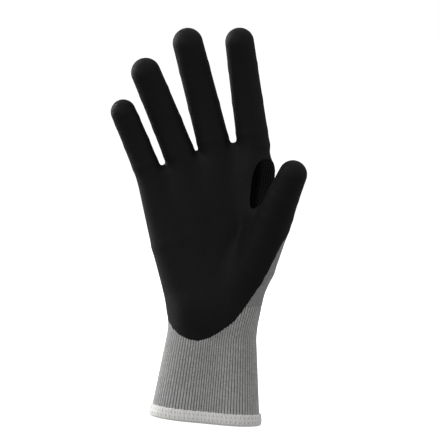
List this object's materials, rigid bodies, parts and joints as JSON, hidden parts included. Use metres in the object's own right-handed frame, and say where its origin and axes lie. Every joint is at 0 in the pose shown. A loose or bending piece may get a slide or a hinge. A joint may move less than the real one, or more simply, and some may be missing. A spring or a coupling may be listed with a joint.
{
  "type": "work glove",
  "caption": "Right-hand knitted work glove with a dipped palm and fingertips, a rib cuff with an overlocked hem, and a reinforced thumb crotch; fingers, thumb and wrist bend.",
  "frame": {"origin": "middle of the cuff's opening, in the plane of its hem", "axes": "+Z along the cuff to the fingertips, -Y the way the palm faces, +X towards the thumb"},
  "size_m": [0.1281, 0.0804, 0.2542],
  "materials": {
    "grey_rib_knit": "rib-knitted polyester yarn, matt with a slight sheen",
    "liner_knit": "plain seamless knit, matt",
    "white_overlock": "thick overlock thread in close loops",
    "elastic_yarn": "covered elastic yarn",
    "foam_nitrile": "matt micro-foam nitrile, soft sheen",
    "crotch_nitrile": "second layer of nitrile over the knit, dull"
  },
  "bodies": {
    "cuff": {"cuff_rib": "grey_rib_knit", "cuff_elastic": "elastic_yarn", "hem_overlock": "white_overlock"},
    "palm": {"palm_liner": "liner_knit", "palm_coating": "foam_nitrile", "thumb_crotch_patch": "crotch_nitrile", "wrist_knit": "grey_rib_knit"},
    "index_base": {"index_base_stall": "liner_knit", "index_base_knuckle": "liner_knit", "index_base_coating": "foam_nitrile"},
    "index_mid": {"index_mid_stall": "liner_knit", "index_mid_knuckle": "liner_knit", "index_mid_coating": "foam_nitrile"},
    "index_tip": {"index_tip_stall": "liner_knit", "index_tip_knuckle": "liner_knit", "index_tip_coating": "foam_nitrile"},
    "middle_base": {"middle_base_stall": "liner_knit", "middle_base_knuckle": "liner_knit", "middle_base_coating": "foam_nitrile"},
    "middle_mid": {"middle_mid_stall": "liner_knit", "middle_mid_knuckle": "liner_knit", "middle_mid_coating": "foam_nitrile"},
    "middle_tip": {"middle_tip_stall": "liner_knit", "middle_tip_knuckle": "liner_knit", "middle_tip_coating": "foam_nitrile"},
    "ring_base": {"ring_base_stall": "liner_knit", "ring_base_knuckle": "liner_knit", "ring_base_coating": "foam_nitrile"},
    "ring_mid": {"ring_mid_stall": "liner_knit", "ring_mid_knuckle": "liner_knit", "ring_mid_coating": "foam_nitrile"},
    "ring_tip": {"ring_tip_stall": "liner_knit", "ring_tip_knuckle": "liner_knit", "ring_tip_coating": "foam_nitrile"},
    "little_base": {"little_base_stall": "liner_knit", "little_base_knuckle": "liner_knit", "little_base_coating": "foam_nitrile"},
    "little_mid": {"little_mid_stall": "liner_knit", "little_mid_knuckle": "liner_knit", "little_mid_coating": "foam_nitrile"},
    "little_tip": {"little_tip_stall": "liner_knit", "little_tip_knuckle": "liner_knit", "little_tip_coating": "foam_nitrile"},
    "thumb_base": {"thumb_base_stall": "liner_knit", "thumb_base_knuckle": "liner_knit", "thumb_base_coating": "foam_nitrile"},
    "thumb_tip": {"thumb_tip_stall": "liner_knit", "thumb_tip_knuckle": "liner_knit", "thumb_tip_coating": "foam_nitrile"}
  },
  "joints": [
    {"name": "wrist_bend", "type": "hinge", "parent": "cuff", "child": "palm", "pos_m": [0, 0, 0.062], "axis": [1, 0, 0], "range_deg": [-40, 50], "stiffness_Nm_per_rad": 0.6, "deforming": ["wrist_knit", "palm_coating", "thumb_crotch_patch"]},
    {"name": "index_root_bend", "type": "hinge", "parent": "palm", "child": "index_base", "pos_m": [0.01224, -0.00135, 0.18815], "axis": [0.9712, 0.0348, 0.2357], "range_deg": [-10, 65], "stiffness_Nm_per_rad": 0.05, "deforming": ["index_base_knuckle", "index_base_coating"]},
    {"name": "index_middle_bend", "type": "hinge", "parent": "index_base", "child": "index_mid", "pos_m": [0.00748, -0.00277, 0.20796], "axis": [0.9712, 0.0348, 0.2357], "range_deg": [0, 70], "stiffness_Nm_per_rad": 0.02, "deforming": ["index_mid_knuckle", "index_mid_coating"]},
    {"name": "index_end_bend", "type": "hinge", "parent": "index_mid", "child": "index_tip", "pos_m": [0.00234, -0.00713, 0.22979], "axis": [0.9712, 0.0348, 0.2357], "range_deg": [0, 42], "deforming": ["index_tip_knuckle", "index_tip_coating"]},
    {"name": "middle_root_bend", "type": "hinge", "parent": "palm", "child": "middle_base", "pos_m": [-0.01239, 0.00015, 0.18079], "axis": [0.9409, 0, 0.3387], "range_deg": [-10, 65], "stiffness_Nm_per_rad": 0.05, "deforming": ["middle_base_knuckle", "middle_base_coating"]},
    {"name": "middle_middle_bend", "type": "hinge", "parent": "middle_base", "child": "middle_mid", "pos_m": [-0.0199, -0.0014, 0.20166], "axis": [0.9409, 0, 0.3387], "range_deg": [0, 70], "stiffness_Nm_per_rad": 0.02, "deforming": ["middle_mid_knuckle", "middle_mid_coating"]},
    {"name": "middle_end_bend", "type": "hinge", "parent": "middle_mid", "child": "middle_tip", "pos_m": [-0.02829, -0.00621, 0.22496], "axis": [0.9409, 0, 0.3387], "range_deg": [0, 42], "deforming": ["middle_tip_knuckle", "middle_tip_coating"]},
    {"name": "ring_root_bend", "type": "hinge", "parent": "palm", "child": "ring_base", "pos_m": [-0.03378, -0.00035, 0.17134], "axis": [0.8895, -0.0696, 0.4517], "range_deg": [-10, 65], "stiffness_Nm_per_rad": 0.05, "deforming": ["ring_base_knuckle", "ring_base_coating"]},
    {"name": "ring_middle_bend", "type": "hinge", "parent": "ring_base", "child": "ring_mid", "pos_m": [-0.04238, -0.00167, 0.18808], "axis": [0.8895, -0.0696, 0.4517], "range_deg": [0, 70], "stiffness_Nm_per_rad": 0.02, "deforming": ["ring_mid_knuckle", "ring_mid_coating"]},
    {"name": "ring_end_bend", "type": "hinge", "parent": "ring_mid", "child": "ring_tip", "pos_m": [-0.05247, -0.00588, 0.2073], "axis": [0.8895, -0.0696, 0.4517], "range_deg": [0, 42], "deforming": ["ring_tip_knuckle", "ring_tip_coating"]},
    {"name": "little_root_bend", "type": "hinge", "parent": "palm", "child": "little_base", "pos_m": [-0.05409, -0.00185, 0.16093], "axis": [0.8871, -0.1043, 0.4497], "range_deg": [-10, 65], "stiffness_Nm_per_rad": 0.05, "deforming": ["little_base_knuckle", "little_base_coating"]},
    {"name": "little_middle_bend", "type": "hinge", "parent": "little_base", "child": "little_mid", "pos_m": [-0.06076, -0.00287, 0.17386], "axis": [0.8871, -0.1043, 0.4497], "range_deg": [0, 70], "stiffness_Nm_per_rad": 0.02, "deforming": ["little_mid_knuckle", "little_mid_coating"]},
    {"name": "little_end_bend", "type": "hinge", "parent": "little_mid", "child": "little_tip", "pos_m": [-0.06794, -0.00583, 0.18734], "axis": [0.8871, -0.1043, 0.4497], "range_deg": [0, 42], "deforming": ["little_tip_knuckle", "little_tip_coating"]},
    {"name": "thumb_root_bend", "type": "hinge", "parent": "palm", "child": "thumb_base", "pos_m": [0.03226, -0.03156, 0.13806], "axis": [-0.049, 0.8668, 0.4962], "range_deg": [-30, 15], "stiffness_Nm_per_rad": 0.05, "deforming": ["thumb_base_knuckle", "thumb_base_coating"]},
    {"name": "thumb_end_bend", "type": "hinge", "parent": "thumb_base", "child": "thumb_tip", "pos_m": [0.03659, -0.03851, 0.15062], "axis": [-0.049, 0.8668, 0.4962], "range_deg": [-55, 0], "stiffness_Nm_per_rad": 0.02, "deforming": ["thumb_tip_knuckle", "thumb_tip_coating"]}
  ],
  "couplings": [
    {"joint": "index_end_bend", "follows": "index_middle_bend", "ratio": 0.6},
    {"joint": "middle_end_bend", "follows": "middle_middle_bend", "ratio": 0.6},
    {"joint": "ring_end_bend", "follows": "ring_middle_bend", "ratio": 0.6},
    {"joint": "little_end_bend", "follows": "little_middle_bend", "ratio": 0.6}
  ]
}
